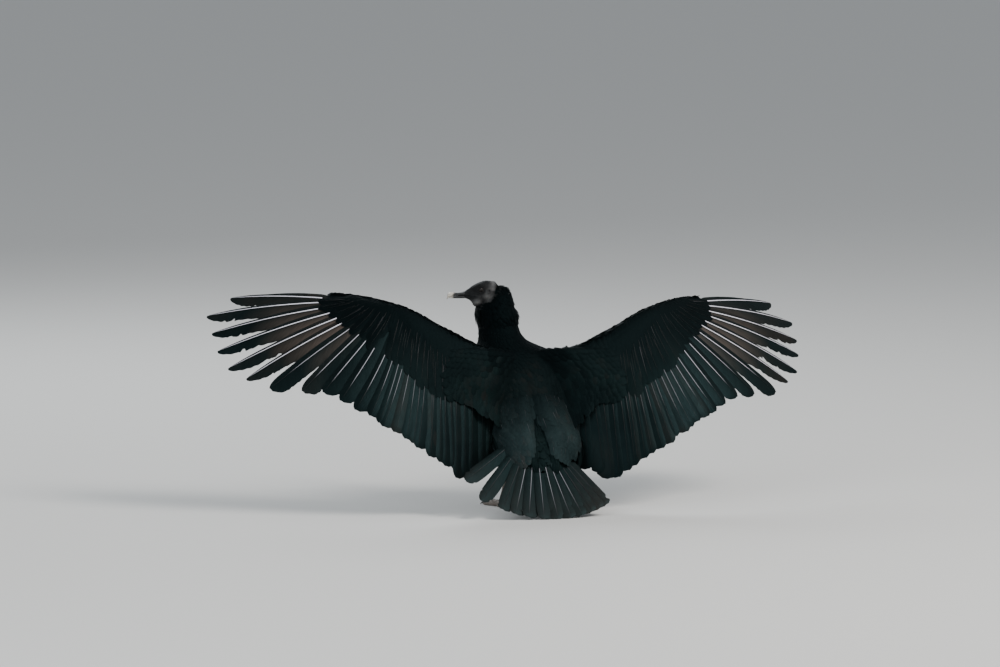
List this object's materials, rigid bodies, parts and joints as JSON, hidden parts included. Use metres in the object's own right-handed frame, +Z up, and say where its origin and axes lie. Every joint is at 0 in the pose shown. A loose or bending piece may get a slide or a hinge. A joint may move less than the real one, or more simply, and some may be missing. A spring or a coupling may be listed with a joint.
{
  "type": "black vulture",
  "caption": "Life-size still model of a black vulture sunning itself: upright, wings spread, tail fanned on the floor, bare grey head turned to its left.",
  "frame": {"origin": "on the floor, under the middle of the bird's box", "axes": "+Z up, +Y the way the body faces, +X out along the right wing"},
  "size_m": [1.3074, 0.39, 0.4735],
  "materials": {
    "plumage": "glossy black feathers with a faint blue-green sheen",
    "bare_skin": "bare wrinkled dark grey skin",
    "bill_horn": "smooth horn, dark at the base and ivory at the tip",
    "eye": "wet, very dark brown",
    "leg_scale": "pale grey scaly skin",
    "claw_horn": "dark blunt horn"
  },
  "bodies": {
    "root": {"bill_lower": "bill_horn", "bill_upper": "bill_horn", "claw_hind_left": "claw_horn", "claw_hind_right": "claw_horn", "claw_inner_left": "claw_horn", "claw_inner_right": "claw_horn", "claw_middle_left": "claw_horn", "claw_middle_right": "claw_horn", "claw_outer_left": "claw_horn", "claw_outer_right": "claw_horn", "eye_left": "eye", "eye_right": "eye", "foot_left": "leg_scale", "foot_right": "leg_scale", "head": "bare_skin", "neck": "plumage", "shank_left": "leg_scale", "shank_right": "leg_scale", "tail": "plumage", "thigh_left": "plumage", "thigh_right": "plumage", "trunk": "plumage", "wing_left_arm": "plumage", "wing_left_forearm": "plumage", "wing_left_hand": "plumage", "wing_right_arm": "plumage", "wing_right_forearm": "plumage", "wing_right_hand": "plumage"}
  },
  "joints": []
}
